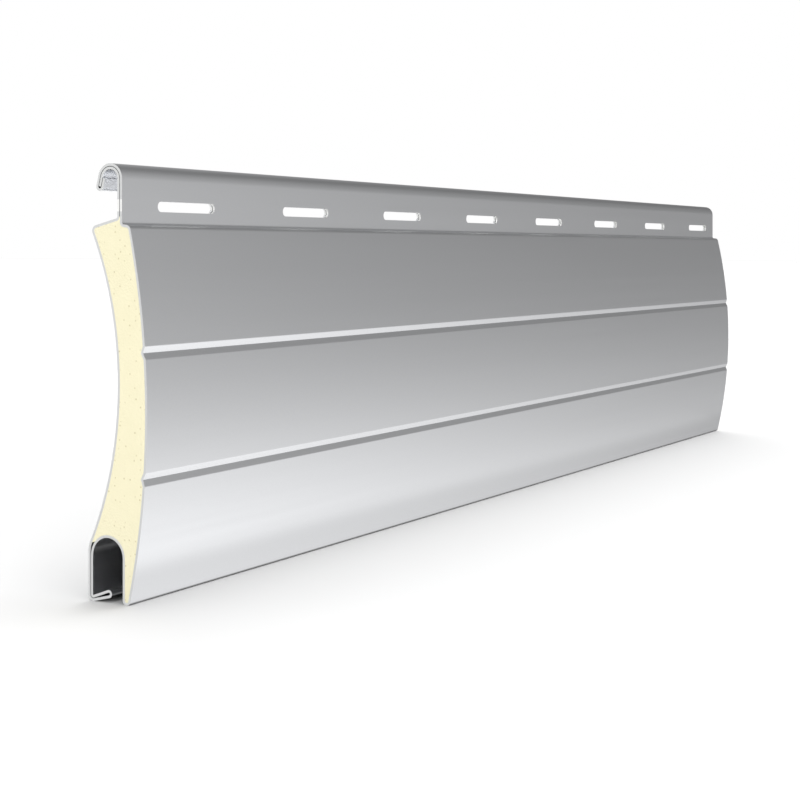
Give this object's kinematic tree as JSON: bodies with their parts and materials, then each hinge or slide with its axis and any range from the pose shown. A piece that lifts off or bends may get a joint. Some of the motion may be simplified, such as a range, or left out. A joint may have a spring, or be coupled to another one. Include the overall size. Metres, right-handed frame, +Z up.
{
  "type": "roller shutter slat",
  "caption": "Cut length of foam-filled aluminium roller shutter slat: hooked, slotted tongue on top, bowed grooved front, hollow back and a lipped channel below for the next slat's hook.",
  "frame": {"origin": "middle of the length and of the thickness, on the floor that the lower edge and the lip stand on", "axes": "+X along the slat from the near end to the far end, -Y out of the bowed front, +Z up from the bottom channel to the hook"},
  "size_m": [0.2134, 0.0092, 0.053],
  "materials": {
    "painted_aluminium": "satin silver-grey coil paint, bare metal on the cut edges",
    "rigid_foam": "cut rigid polyurethane foam with fine cells"
  },
  "bodies": {
    "root": {"aluminium_skin": "painted_aluminium", "foam_core": "rigid_foam"}
  },
  "joints": []
}
